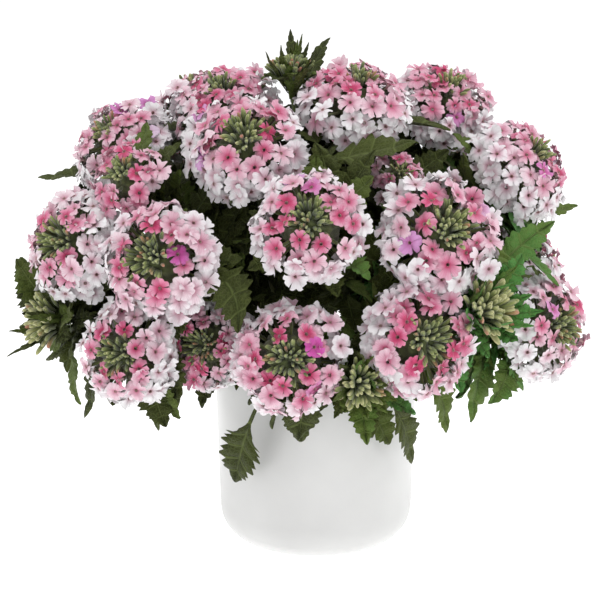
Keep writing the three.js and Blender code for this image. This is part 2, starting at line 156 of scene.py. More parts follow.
# Green buds in the middle of a head and in clusters of their own
HEAD_BUDS, OLD_BUDS, YOUNG_BUDS, CLUSTER_BUDS = table(
    "count middle polar top length radius",
    (64, 1, 34, 27, 11, 1.2),
    (26, 1, 18, 28, 10, 1.2),
    (34, 1, 34, 18.5, 8, 1.1),
    (66, -8, 40, 24, 12, 1.4),
)
BUD_SIDES = 6
BUD_SHARES = np.array([0, 0.35, 0.65, 0.86, 0.96, 1])  # rows of points, closer together at the blunt tip
BUD_RADII = np.array([0.55, 0.82, 1, 0.92, 0.6, 0.12])
BUD_RIDGE = 0.22
BUD_LEAN = 0.09  # by chance
BUD_BOW = 1.6
BUD_TURN = (-10, 10)
BUD_TILT = (-4, 4)
BUD_TOP = (0.93, 1.05)
BUD_LENGTH = (0.85, 1.05)
BUD_SIZE = (0.85, 1.2)
HEAD_PALE = (0, 0.3)  # added to the tone of a head's buds
YOUNG_PALE = 0.25
BLUSH_CHANCE = 0.2  # that an outermost bud has a coloured tip
BLUSH = (0.3, 0.8)

# Stems, as in the source, with the heads that each carries, and clusters of buds at angles on the mound
STEM_RADIUS = 2.2
BRANCH_RADIUS = 1.35
STEM_SIDES = 12
STEM_RIDGE = 0.12
ROOT_CIRCLE = 22
ROOT_HEIGHT = 61
BEND_HEIGHT = 105
FORK_CIRCLE = 44
FORK_HEIGHT = 136
BRANCH_PULL = 0.36  # length of a branch's first and last direction, as a share of its span
BRANCH_END = (5, 12)  # how far under a head's origin a branch reaches it, and its length inside it
TRUNK_STEPS = 14
BRANCH_STEPS = 22
CLUSTER_HEIGHT = 16
STEMS = table(
    "name azimuth heads",
    ("front_left", -26, range(1, 7)),
    ("front_right", 34, range(7, 12)),
    ("left", -88, range(12, 16)),
    ("right", 80, range(16, 19)),
    ("back_right", 138, range(19, 23)),
    ("back_left", -158, range(23, 28)),
)
CLUSTERS = table(
    "stem at faces size reach pale leaves",
    ("front_right", (12, -18), (12, 4), 1.0, 1.0, 0.5, 8),
    ("front_right", (-10, 79), (-10, 84), 0.9, 1.09, 0, 24),
    ("left", (-63, -7), (-55, 8), 1.1, 1.0, 0.7, 16),
    ("right", (39, 2), (36, 22), 1.2, 1.0, 0.7, 16),
)

# A leaf. Its relief is in shares of its width
TOOTH_DEPTH = 0.24  # as a share of the half width
TOOTH_PEAK = 0.8  # where along a tooth its tip is
VEIN_SLANT = 0.13
PUCKER = 0.07
GROOVE = 0.025
RIPPLE = 0.05
BLADE_END = 0.992
STALK_ROWS = 4
STALK_SHARE = 0.16
STALK_HALF = (0.9, 1.2)  # half width at the foot and where the blade begins
LEAST_HALF = 0.25
LEAF_LIFT = 0.16  # how far the halves fold up, as a slope
NEAR_GRID = (3, 8)  # columns of each half and rows of each tooth
BRANCH_GRID = (3, 6)
FILL_GRID = (2, 5)

# The leaves of the solid stems, found in their meshes
RIB_THICKNESS = (1.4, 1.72)  # at the midrib, from least to most, which tells its points from others
RIB_NEIGHBOURS = 4  # least number of edge points that a midrib's point is joined to
RIB_PLACES = (0.2, 0.62)  # of the midrib's two points, as shares of the blade
LONGEST_STALK = 1.3  # as a share of the blade
SOLID_LEAF_WIDER = 1.12  # makes up for the teeth, which are cut into the blade

# The leaves between the heads
PAINTED_LIGHT_SIDE = (60, -5)  # azimuth and elevation of the lit side, whose leaves are painted lighter as painted light
BRANCH_LEAF_PLACES = (0.16, 0.3, 0.44, 0.58, 0.7, 0.82)
BRANCH_LEAF_LENGTH = (30, 46)
BRANCH_LEAF_WIDTH = (0.38, 0.52)
BRANCH_LEAF_TURN = (-40, 40)
SHORTER = 0.08  # with each try
LEAF_TRIES = 7
JOINT_SHARES = np.linspace(0.15, 0.88, 24)
GAP_TRIES = 10
GAP_TURN = 9  # how far from its even place a filling leaf's tip may be
LEAF_REACH = (26, 40)  # from the joint that a filling leaf grows from
LONGEST_REACH = 52
LEAF_LAYERS = table(  # that fill the room between the heads, from the outside inwards; tone darkens inner ones as painted shade
    "count reach spacing width teeth tone",
    (420, (0.78, 1.0), 9, (0.42, 0.6), 5, 1),
    (520, (0.5, 0.82), 9, (0.55, 0.75), 3, 0.5),
    (240, (0.15, 0.5), 11, (0.6, 0.8), 3, 0.2),
)
SCREEN_LEAVES = table(  # that close the last gaps between the heads, from the joint nearest to the foot
    "foot tip",
    ((69, 20, 243), (36, 18, 247)),
    ((67, 20, 232), (44, 26, 240)),
    ((20, -51, 157), (10, -44, 126)),
    ((25, -48, 138), (-4, -46, 136)),
    ((42, -43, 219), (77, -26, 243)),
    ((67, 20, 228), (84, -12, 226)),
)
SCREEN_WIDTH = 22
SCREEN_TEETH = 4
SCREEN_BOW = 0.2  # as a share of the width
MOUND_LIMIT = 1.04  # how far out a leaf's tip may be, as a share of the mound's reach
POT_CLEARANCE = 2
FLORET_SHELL = 0.45  # where a head's florets begin, as a share of its room
SHOOT_TURN = (-12, 12)  # of the young leaves round a cluster of buds
SHOOT_FOOT = (-14, -2)  # their heights along the cluster's axis
SHOOT_TOP = (-4, 25)
SHOOT_BEND = (8, 14)  # their distances from it
SHOOT_REACH = (8, 22)
SHOOT_WIDTH = 15
SHOOT_NARROWER = 0.35  # with each millimetre of height

# The photograph's view and its light
CAMERA_TARGET = (-9.6, 0, 148)
CAMERA_ELEVATION = 12
CAMERA_DISTANCE = 1500
CAMERA_LENS = 150
CAMERA_SENSOR = 36
FLOOR_RADIUS = 14000
FLOOR_SIDES = 96
WORLD_STRENGTH = 0.62
LIGHT_WIDTH = 900
LIGHTS = table(
    "name at watts",
    ("key", (400, -400, 1900), 12),
    ("left", (-1400, 100, 1100), 6),
    ("right", (1400, 300, 1100), 5),
)

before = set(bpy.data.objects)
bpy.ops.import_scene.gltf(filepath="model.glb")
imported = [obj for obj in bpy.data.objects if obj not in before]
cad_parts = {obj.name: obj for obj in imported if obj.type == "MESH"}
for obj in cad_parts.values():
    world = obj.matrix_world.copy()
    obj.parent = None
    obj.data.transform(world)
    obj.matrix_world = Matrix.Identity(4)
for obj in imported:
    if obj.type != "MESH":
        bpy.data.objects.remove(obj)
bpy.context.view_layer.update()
POT_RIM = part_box("pot")[1].x / MM
POT_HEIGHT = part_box("pot")[1].z / MM


def unit(vectors):
    return vectors / np.linalg.norm(vectors, axis=-1, keepdims=True)


def direction(azimuth, elevation):
    a, e = np.radians([azimuth, elevation])
    return np.array([np.sin(a) * np.cos(e), -np.cos(a) * np.cos(e), np.sin(e)])


def polar_point(polar, around):
    """A direction in a head's own frame, from angles in radians from and round its axis."""
    return np.array([np.sin(polar) * np.cos(around), np.sin(polar) * np.sin(around), np.cos(polar)])


def on_mound(angles, reach):
    return MOUND_CENTRE + direction(*angles) * MOUND_REACH * reach


def turned(axis, spin):
    """Two sides and the axis itself as rows, so that points @ turned(...) stand along the axis."""
    axis = unit(axis)
    helper = [1.0, 0, 0] if abs(axis[0]) < 0.7 else [0, 1.0, 0]
    side = unit(np.cross(axis, helper))
    other = np.cross(axis, side)
    c, s = np.cos(np.radians(spin)), np.sin(np.radians(spin))
    return np.array([side * c + other * s, other * c - side * s, axis])


def grid_quads(rows, columns, ring=False):
    """The quads of a grid of points, row by row. A ring joins its last column to its first."""
    numbers = np.arange(rows * columns).reshape(rows, columns)
    if ring:
        numbers = np.concatenate([numbers, numbers[:, :1]], axis=1)
    corners = [numbers[:-1, :-1], numbers[:-1, 1:], numbers[1:, 1:], numbers[1:, :-1]]
    return np.stack(corners, axis=-1).reshape(-1, 4)


class Faces:
    """Points, quads and a value or more for each point, gathered until a piece's mesh is made."""

    def __init__(self):
        self.points = []
        self.quads = []
        self.values = {}
        self.count = 0

    def add(self, points, quads, **values):
        points = points.reshape(-1, 3)
        self.points.append(points)
        self.quads.append(quads + self.count)
        for name, value in values.items():
            spread = np.broadcast_to(np.asarray(value, float).ravel(), len(points))
            self.values.setdefault(name, []).append(spread)
        self.count += len(points)


def make_piece(name, faces, material, nodes):
    """A piece of the scene from gathered faces, which stands in for the CAD nodes named."""
    points = np.concatenate(faces.points) * MM
    quads = np.concatenate(faces.quads)
    mesh = bpy.data.meshes.new(name)
    mesh.vertices.add(len(points))
    mesh.vertices.foreach_set("co", points.ravel())
    mesh.loops.add(quads.size)
    mesh.loops.foreach_set("vertex_index", quads.ravel())
    mesh.polygons.add(len(quads))
    mesh.polygons.foreach_set("loop_start", np.arange(0, quads.size, 4))
    mesh.polygons.foreach_set("use_smooth", np.ones(len(quads), bool))
    for key, values in faces.values.items():
        attribute = mesh.attributes.new(key, "FLOAT", "POINT")
        attribute.data.foreach_set("value", np.concatenate(values).astype(np.float32))
    mesh.update(calc_edges=True)
    mesh.validate()
    mesh.materials.append(material)
    piece = bpy.data.objects.new(name, mesh)
    bpy.context.scene.collection.objects.link(piece)
    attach(piece, "root")
    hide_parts(*nodes)


def linear(red, green, blue):
    """A colour given as 0 to 255 on a screen, as the linear values that a shader takes."""
    screen = np.array([red, green, blue]) / 255
    return (*np.where(screen <= 0.04045, screen / 12.92, ((screen + 0.055) / 1.055) ** 2.4), 1)


class Look:
    """One material's nodes, added by short calls that return their output."""

    def __init__(self, name, **sockets):
        self.material = bpy.data.materials.new(name)
        self.material.use_nodes = True
        self.tree = self.material.node_tree
        self.shader = self.tree.nodes["Principled BSDF"]
        for socket, value in sockets.items():
            self.shader.inputs[socket.replace("_", " ")].default_value = value
        self.place = self.node("ShaderNodeTexCoord", {}).outputs["Object"]

    def node(self, kind, inputs, **settings):
        made = self.tree.nodes.new(kind)
        for key, value in settings.items():
            setattr(made, key, value)
        for key, value in inputs.items():
            if isinstance(value, bpy.types.NodeSocket):
                self.tree.links.new(value, made.inputs[key])
            else:
                made.inputs[key].default_value = value
        return made

    def value(self, name):
        """A value that the mesh holds for each point."""
        return self.node("ShaderNodeAttribute", {}, attribute_name=name).outputs["Fac"]

    def maths(self, operation, first, second=0.0, clamp=False):
        inputs = {0: first, 1: second}
        return self.node("ShaderNodeMath", inputs, operation=operation, use_clamp=clamp).outputs[0]

    def times(self, first, second):
        return self.maths("MULTIPLY", first, second)

    def plus(self, first, second, clamp=False):
        return self.maths("ADD", first, second, clamp)

    def noise(self, scale, detail=2.0, roughness=0.5):
        inputs = {"Vector": self.place, "Scale": scale, "Detail": detail, "Roughness": roughness}
        return self.node("ShaderNodeTexNoise", inputs).outputs["Fac"]

    def net(self, scale):
        """The distance to the nearest edge of a net of cells."""
        inputs = {"Vector": self.place, "Scale": scale}
        return self.node("ShaderNodeTexVoronoi", inputs, feature="DISTANCE_TO_EDGE").outputs["Distance"]

    def line(self, distance, width):
        """1 where the distance is 0, and 0 from the width on."""
        return self.maths("SUBTRACT", 1.0, self.maths("DIVIDE", distance, width), clamp=True)

    def ramp(self, value, *stops):
        """A colour by a value. Each stop is a value and the red, green and blue there."""
        made = self.node("ShaderNodeValToRGB", {"Fac": value})
        elements = made.color_ramp.elements
        while len(elements) < len(stops):
            elements.new(0.5)
        for element, (position, *colour) in zip(elements, stops):
            element.position = position
            element.color = linear(*colour)
        return made.outputs["Color"]

    def mix(self, factor, first, second):
        inputs = {0: factor, 6: first, 7: second}
        return self.node("ShaderNodeMix", inputs, data_type="RGBA").outputs[2]

    def bumped(self, height, distance, strength):
        """The finished material, with its bump."""
        inputs = {"Height": height, "Distance": distance, "Strength": strength}
        self.set("Normal", self.node("ShaderNodeBump", inputs).outputs["Normal"])
        return self.material

    def set(self, socket, output):
        self.tree.links.new(output, self.shader.inputs[socket])


def petal_material(name, stops):
    """White to pink petals, pinker and darkened by painted shade towards the throat, with fine veins along
    them.
    """
    look = Look(name, Roughness=0.62, Specular_IOR_Level=0.3, Sheen_Weight=0.25, Sheen_Roughness=0.5)
    along = look.value("along")
    flush = look.times(look.maths("POWER", look.line(along, 1.0), 2.2), 0.42)
    blotch = look.times(look.maths("SUBTRACT", look.noise(260, 3), 0.5), 0.34)
    vein = look.maths("SINE", look.times(look.value("across"), 17.0))
    pink = look.plus(look.value("pink"), look.plus(flush, blotch))
    veined = look.plus(pink, look.times(vein, 0.035), clamp=True)
    violet = look.mix(look.value("violet"), look.ramp(veined, *stops), linear(196, 84, 190))
    # painted shade: the petals darken towards the throat, down in the floret's funnel
    painted_throat_shade = look.plus(look.times(along, 0.5), 0.72, clamp=True)
    look.set("Base Color", look.mix(painted_throat_shade, linear(150, 84, 98), violet))
    crinkle = look.plus(look.noise(1400), look.times(vein, 0.3))
    return look.bumped(crinkle, 0.0003, 0.6)


def tube_material():
    """The pale narrow tube under each floret."""
    look = Look("floret_tube", Roughness=0.6)
    look.set("Base Color", look.ramp(look.noise(500), (0.3, 196, 150, 160), (0.8, 214, 196, 180)))
    return look.bumped(look.noise(2500), 0.0002, 0.5)


def bud_material():
    """Hairy ribbed buds: pale green with painted shade in the grooves and a pink or yellow tip on some."""
    look = Look("green_buds", Roughness=0.7, Sheen_Weight=0.4, Sheen_Roughness=0.6)
    green = look.ramp(
        look.plus(look.times(look.value("along"), 0.6), look.times(look.value("tone"), 0.4)),
        (0.1, 34, 42, 14),
        (0.4, 92, 104, 44),
        (0.75, 152, 162, 86),
        (1.0, 214, 212, 150),
    )
    # painted shade: darker green in the grooves between the ribs
    groove_shaded = look.mix(look.times(look.value("rib"), 0.45), green, linear(40, 62, 22))
    look.set("Base Color", look.mix(look.value("blush"), groove_shaded, linear(196, 92, 84)))
    return look.bumped(look.noise(2200, 3), 0.0004, 0.8)


def leaf_material():
    """Dark puckered leaves with paler veins, each leaf of its own green."""
    gloss = {"Roughness": 0.55, "Specular_IOR_Level": 0.2}
    look = Look("verbena_leaf", Sheen_Weight=0.04, Sheen_Roughness=0.6, **gloss)
    green = look.ramp(
        look.plus(look.value("tone"), look.times(look.noise(70, 3), 0.35)),
        (0.1, 36, 41, 10),
        (0.45, 66, 75, 22),
        (0.75, 90, 111, 42),
        (1.0, 80, 138, 64),
    )
    midrib = look.line(look.maths("ABSOLUTE", look.value("across")), 0.1)
    lateral = look.line(look.maths("PINGPONG", look.value("tooth"), 0.5), 0.09)
    finest = look.times(look.line(look.net(420), 0.16), 0.3)
    main = look.maths("MAXIMUM", midrib, look.times(lateral, 0.75))
    vein = look.maths("MAXIMUM", main, finest)
    veined = look.mix(look.times(vein, 0.6), green, linear(126, 140, 78))
    speck = look.times(look.maths("GREATER_THAN", look.noise(900), 0.68), 0.2)
    look.set("Base Color", look.mix(speck, veined, linear(26, 40, 14)))
    look.set("Roughness", look.plus(look.times(look.noise(400), 0.3), 0.42))
    grain = look.times(look.noise(1500, 3), 0.5)
    return look.bumped(look.maths("SUBTRACT", grain, vein), 0.0009, 0.9)


def stem_material():
    """Green stems with darker streaks and a reddish flush near the soil."""
    look = Look("verbena_stem", Roughness=0.6, Sheen_Weight=0.3, Sheen_Roughness=0.6)
    green = look.ramp(look.noise(160, 3), (0.3, 58, 78, 28), (0.7, 102, 124, 58))
    low = look.times(look.line(look.value("along"), 1.0), 0.55)
    look.set("Base Color", look.mix(low, green, linear(92, 58, 44)))
    return look.bumped(look.noise(1800, 3), 0.0004, 0.7)


def pot_material():
    """A smooth white glaze with the faintest clouding and orange peel."""
    look = Look("white_glaze", Roughness=0.32, Coat_Weight=0.35, Coat_Roughness=0.12)
    look.set("Base Color", look.ramp(look.noise(18, 4), (0.35, 226, 226, 225), (0.7, 235, 235, 234)))
    look.set("Roughness", look.plus(look.times(look.noise(60, 3), 0.16), 0.25))
    return look.bumped(look.noise(420), 0.0002, 0.12)


def soil_material():
    """Moist potting mix: dark crumbs with paler fibres and grit."""
    look = Look("potting_mix", Roughness=0.95)
    crumbs = look.ramp(look.noise(240, 6, 0.7), (0.3, 22, 15, 10), (0.55, 52, 38, 28), (0.75, 88, 66, 46))
    grit = look.times(look.maths("GREATER_THAN", look.noise(520, 1), 0.7), 0.6)
    look.set("Base Color", look.mix(grit, crumbs, linear(150, 132, 108)))
    return look.bumped(look.noise(700, 5, 0.7), 0.002, 0.9)


def floor_material():
    look = Look("pale_floor", Roughness=0.9, Emission_Color=(1, 1, 1, 1), Emission_Strength=0.5)
    look.set("Base Color", look.ramp(look.noise(3), (0.0, 246, 246, 246), (1.0, 249, 249, 249)))
    return look.material


def tube(faces, path, radii, sides, ridge=0.0, **values):
    """A tube along a path, with ridges along it, and rib, which is 1 in the grooves between them."""
    path = np.asarray(path, float)
    radii = np.broadcast_to(radii, len(path))
    forward = unit(np.gradient(path, axis=0))
    helper = turned(path[-1] - path[0], 0)[0]
    side = unit(np.cross(forward, helper))
    other = np.cross(forward, side)
    turn = np.linspace(0, 2 * np.pi, sides, endpoint=False)
    groove = np.tile([0.0, 1.0], sides // 2 + 1)[:sides]
    reach = radii[:, None] * (1 - ridge * groove)
    ring = side[:, None] * np.cos(turn)[:, None] + other[:, None] * np.sin(turn)[:, None]
    points = path[:, None] + ring * reach[..., None]
    along = np.repeat(np.linspace(0, 1, len(path)), sides)
    rib = np.tile(groove, len(path))
    faces.add(points, grid_quads(len(path), sides, ring=True), **{"along": along, "rib": rib, **values})


def lathe(faces, outline, sides, ripple=None):
    """A surface of revolution about Z. outline holds [radius, height] rows."""
    turn = np.linspace(0, 2 * np.pi, sides, endpoint=False)
    radius, height = outline.T[..., None]
    points = np.stack([radius * np.cos(turn), radius * np.sin(turn), height + 0 * turn], axis=-1)
    if ripple:
        points[..., 2] += ripple(*np.moveaxis(points, -1, 0))
    faces.add(points, grid_quads(len(outline), sides, ring=True))


def pot_wall(inset, top, steps=CORNER_STEPS):
    """The pot's outline, or one inside it, from the foot's flat up to a height, as in the source."""
    slope = (POT_RIM - POT_FOOT_RADIUS) / POT_HEIGHT
    angles = np.radians(np.linspace(0, 90, steps))
    z = POT_CORNER - (POT_CORNER - inset) * np.cos(angles)
    radius = POT_FOOT_RADIUS - POT_CORNER + (POT_CORNER - inset) * np.sin(angles) + slope * z
    levels = np.linspace(z[-1], top, WALL_LEVELS)[1:]
    wall = np.stack([POT_FOOT_RADIUS - inset + slope * levels, levels], axis=1)
    return np.concatenate([np.stack([radius, z], axis=1), wall])


def build_pot():
    """One closed outline, from under the foot over the rounded lip to the floor inside."""
    lip = POT_WALL / 2
    outside = pot_wall(0, POT_HEIGHT - lip)
    inside = pot_wall(POT_WALL, POT_HEIGHT - lip)[::-1]
    middle = (outside[-1] + inside[0]) / 2
    angles = np.radians(np.linspace(0, 180, 9)[1:-1])
    rim = middle + lip * np.stack([np.cos(angles), np.sin(angles)], axis=1)
    foot = [[HUB, 0.0], [POT_FLAT, 0.0]]
    floor = [[POT_FLAT, POT_WALL], [HUB, POT_WALL]]
    faces = Faces()
    lathe(faces, np.concatenate([foot, outside, rim, inside, floor]), POT_SIDES)
    make_piece("pot_glazed", faces, pot_material(), ["pot"])


def clods(x, y, z):
    """How far the soil's uneven top rises or falls at each point."""
    coarse = 0.8 * np.sin(0.9 * x + 1.3 * np.sin(0.7 * y))
    fine = 0.6 * np.sin(1.1 * y + 0.8 * np.sin(1.3 * x))
    return np.where(z > SOIL_TOP - 0.1, coarse + fine, 0)


def build_soil():
    """Soil with an uneven crown, and loose crumbs that lie on it."""
    rng = np.random.default_rng(SOIL_SEED)
    low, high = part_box("soil")
    edge = pot_wall(POT_WALL + SOIL_GAP, SOIL_TOP, 8)
    rings = np.linspace(edge[-1][0], HUB, SOIL_RINGS + 1)[1:]
    share = 1 - (rings / edge[-1][0]) ** 2
    top = np.stack([rings, SOIL_TOP + (high.z / MM - SOIL_TOP) * share], axis=1)
    faces = Faces()
    lathe(faces, np.concatenate([[[HUB, low.z / MM]], edge, top]), SOIL_SIDES, clods)
    steps = np.linspace(-1, 1, 5)
    for _ in range(SOIL_CRUMBS):
        away = CRUMB_CIRCLE * np.sqrt(rng.random())
        around = rng.uniform(0, 2 * np.pi)
        size = rng.uniform(*CRUMB_SIZE)
        height = SOIL_TOP + SOIL_CROWN * (1 - (away / SOIL_RADIUS) ** 2)
        foot = np.array([away * np.cos(around), away * np.sin(around), height])
        axis = unit(rng.normal(size=3))
        radii = size * np.sqrt(np.maximum(1 - steps**2, 0.004)) * rng.uniform(0.8, 1.15, 5)
        tube(faces, foot + axis * size * steps[:, None], radii, 6)
    faces.values = {}
    make_piece("potting_mix", faces, soil_material(), ["soil"])


def node_points(name):
    """A node's points in millimetres, each once, and which of them each point of its mesh is."""
    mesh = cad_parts[name].data
    points = np.zeros(len(mesh.vertices) * 3)
    mesh.vertices.foreach_get("co", points)
    return np.unique(np.round(points.reshape(-1, 3) / MM, 2), axis=0, return_inverse=True)


def head_stand(number):
    """Where a head stands, from the points of its solid ring of florets: origin, axis and size."""
    single = f"head_{number:02}_florets"
    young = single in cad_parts
    ring = single if young else f"head_{number:02}_outer_florets"
    spread, height = (YOUNG_SPREAD, YOUNG_HEIGHT) if young else (RING_SPREAD, RING_HEIGHT)
    points, _ = node_points(ring)
    middle = points.mean(axis=0)
    off = points - middle
    _, sides = np.linalg.eigh(np.cov(off.T))
    axis = sides[:, 0]
    if axis @ (middle - MOUND_CENTRE) < 0:
        axis = -axis
    lateral = off - np.outer(off @ axis, axis)
    size = np.sqrt((lateral**2).sum(axis=1).mean()) / spread
    origin = middle - axis * height * size
    room = YOUNG_ROOM if young else HEAD_ROOM
    return Record(origin=origin, axis=axis, size=size, room=room, young=young)


def cluster_stand(bud):
    """Where a cluster of buds stands, with what its row says of it."""
    axis = direction(*bud.faces)
    origin = on_mound(bud.at, bud.reach) - axis * CLUSTER_HEIGHT * bud.size
    return Record(**vars(bud), origin=origin, axis=axis)


def add_petals(faces, origin, facing, radius, pink, violet, rng):
    """A floret: five notched petals that rise from a throat and open flat, each with its own wave."""
    u = np.linspace(0, 1, PETAL_ROWS)[:, None]
    v = np.linspace(-1, 1, PETAL_COLUMNS)

    def each(low, high):
        return rng.uniform(low, high, PETALS)[:, None, None]

    notch = NOTCH_DEPTH * np.exp(-((v / NOTCH_WIDTH) ** 2)) + SHOULDER * np.abs(v) ** 2.6
    reach = radius * each(*PETAL_REACH)
    out = THROAT + (reach - THROAT) * u * (1 - notch * u**2)
    side = v * radius * (PETAL_FOOT + each(*PETAL_HALF) * u**0.75)
    cup = each(*PETAL_CUP) * v**2 * u
    droop = each(*PETAL_DROOP) * u**2
    wave = each(*PETAL_WAVE) * np.sin(each(*PETAL_WAVES) * v + each(0, 6)) * u**1.5
    lift = radius * (0.2 * np.sqrt(u) - droop + cup + wave + PETAL_TWIST * v * u)
    angle = np.radians(360 / PETALS * np.arange(PETALS)[:, None, None] + each(*PETAL_TURN))
    x = out * np.cos(angle) - side * np.sin(angle)
    y = out * np.sin(angle) + side * np.cos(angle)
    points = np.stack([x, y, lift], axis=-1)
    step = PETAL_ROWS * PETAL_COLUMNS
    quads = grid_quads(PETAL_ROWS, PETAL_COLUMNS) + step * np.arange(PETALS)[:, None, None]
    along, across, _ = np.broadcast_arrays(u, v, x)
    pink = pink * (1 - 0.3 * along * np.abs(across))
    world = points @ facing + origin
    faces.add(world, quads.reshape(-1, 4), along=along, across=across, pink=pink, violet=violet)


def add_floret(petals, tubes, calyxes, stand, basis, ring, number, flush, rng):
    """One floret of a ring, with its tube and its calyx down into the head."""
    size = stand.size
    polar = np.radians(ring.polar + rng.uniform(*RING_TILT))
    around = np.radians((number + rng.uniform(*RING_SHIFT)) * 360 / ring.count + ring.polar)
    outward = polar_point(polar, around)
    local = outward * [1, 1, HEAD_FLATTEN] * (ring.dome + rng.uniform(*DOME_DEPTH))
    leaning = unit(outward + [0, 0, UPWARD] + rng.normal(0, RESTLESS, 3))
    place = stand.origin + (local @ basis) * size
    normal = unit(leaning @ basis)
    pink = np.clip(ring.pink + flush + rng.normal(0, PINK_CHANCE), 0, 1)
    violet = rng.uniform(*VIOLET) if rng.random() < VIOLET_CHANCE * ring.pink else 0.0
    radius = ring.radius * size * rng.uniform(*FLORET_SIZE)
    facing = turned(normal, rng.uniform(0, 360 / PETALS))
    add_petals(petals, place, facing, radius, pink, violet, rng)
    anchor = stand.origin + basis[2] * size * (local[2] * 0.45 - 3)
    down = unit(anchor - place)
    mid = place - normal * 4 * size + down * 3 * size
    tube(tubes, [place + normal * 0.4, place - normal * 3 * size, mid], TUBE_RADII, TUBE_SIDES)
    calyx = [mid - down * 4 * size, mid, (mid + anchor) / 2]
    tube(calyxes, calyx, CALYX_RADII, TUBE_SIDES, CALYX_RIDGE, tone=0.4, blush=0)


def add_rings(petals, tubes, calyxes, stand, rings, flush, rng):
    """Rings of florets over a head's dome."""
    basis = turned(stand.axis, rng.uniform(0, 360))
    for ring in rings:
        for number in range(ring.count):
            add_floret(petals, tubes, calyxes, stand, basis, ring, number, flush, rng)


def add_buds(faces, stand, buds, pale, rng):
    """Ribbed unopened buds, upright in the middle and splayed outside, each leaning a little by chance."""
    size = stand.size
    basis = turned(stand.axis, rng.uniform(0, 360))
    for number in range(buds.count):
        share = np.sqrt((number + 0.5) / buds.count)
        around = np.radians(GOLDEN_ANGLE * number + rng.uniform(*BUD_TURN))
        polar = np.radians(buds.polar * share + rng.uniform(*BUD_TILT))
        radial = polar_point(np.pi / 2, around)
        forward = unit(polar_point(polar, around) + rng.normal(0, BUD_LEAN, 3))
        top = buds.top * (0.88 + 0.12 * share) * rng.uniform(*BUD_TOP)
        foot = top - buds.length * rng.uniform(*BUD_LENGTH)
        path = forward * (foot + (top - foot) * BUD_SHARES[:, None]) + [0, 0, buds.middle]
        path = path - radial * BUD_BOW * share * np.sin(np.pi * BUD_SHARES)[:, None]
        radii = rng.uniform(*BUD_SIZE) * buds.radius * size * BUD_RADII
        blush = rng.uniform(*BLUSH) if rng.random() < BLUSH_CHANCE * share else 0.0
        world = stand.origin + (path @ basis) * size
        blushes = np.repeat(blush * BUD_SHARES**3, BUD_SIDES)
        tube(faces, world, radii, BUD_SIDES, BUD_RIDGE, tone=rng.random() + pale, blush=blushes)


def add_core(faces, stand, scale, rng):
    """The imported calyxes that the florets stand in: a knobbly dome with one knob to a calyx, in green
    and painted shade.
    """
    basis = turned(stand.axis, rng.uniform(0, 360))
    number = np.arange(CORE_KNOBS) + 0.5
    high = 1 - 2 * number / CORE_KNOBS
    knobs = polar_point(np.arccos(high), np.radians(GOLDEN_ANGLE * number)).T
    rows, columns = CORE_GRID
    polar = np.linspace(0.02, np.pi - 0.02, rows)[:, None]
    turn = np.linspace(0, 2 * np.pi, columns, endpoint=False)
    grid = np.moveaxis(polar_point(*np.broadcast_arrays(polar, turn)), 0, -1)
    nearest = np.arccos(np.clip((grid @ knobs.T).max(axis=-1), -1, 1))
    knob = 1 - (nearest * np.sqrt(CORE_KNOBS) / 2) ** 2
    local = grid * (CORE_REACH + CORE_KNOB * knob[..., None]) * scale + [0, 0, CORE_HEIGHT * scale]
    world = stand.origin + (local @ basis) * stand.size
    # its dark green is partly the calyxes' own and partly painted shade, darkest in the hollows between
    # the knobs
    values = {"along": 0.1 + 0.3 * np.clip(knob, 0, 1), "tone": 0.3, "rib": 0, "blush": 0}
    faces.add(world, grid_quads(rows, columns, ring=True), **values)


def bezier(points, shares):
    """Points of a quadratic or cubic curve at the shares given."""
    t = np.asarray(shares)[:, None]
    levels = points
    while len(levels) > 1:
        levels = [a * (1 - t) + b * t for a, b in zip(levels, levels[1:])]
    return levels[0]


def stem_ends(azimuth):
    """A stem's foot, its bend over the soil and its fork."""
    root = direction(azimuth, 0) * ROOT_CIRCLE
    fork = direction(azimuth, 0) * FORK_CIRCLE + [0, 0, FORK_HEIGHT]
    return [root + [0, 0, ROOT_HEIGHT], root + [0, 0, BEND_HEIGHT], fork]


def branch_curve(azimuth, stand):
    """The control points of a branch, from its stem's fork to the underside of what it carries."""
    _, bend, fork = stem_ends(azimuth)
    below, inside = BRANCH_END
    end = stand.origin - stand.axis * below * stand.size
    rise = unit(fork - bend)
    leave = unit(unit(end - fork) + rise)
    pull = BRANCH_PULL * np.linalg.norm(fork - end)
    last = end + stand.axis * inside * stand.size
    return [fork - rise * 1.5, fork + leave * pull, end - stand.axis * pull, last]


def profile(blade):
    """A leaf's half width along its blade, as a share of the widest."""
    return np.sin(np.pi * (0.12 + 0.88 * blade) ** 0.85) ** 0.9


def saw(phase):
    """What teeth leave of the width: a slow rise to each tooth's tip and a quick fall behind it."""
    rise = 1 - TOOTH_DEPTH + TOOTH_DEPTH * phase / TOOTH_PEAK
    return np.where(phase < TOOTH_PEAK, rise, 1 - TOOTH_DEPTH * (phase - TOOTH_PEAK) / (1 - TOOTH_PEAK))


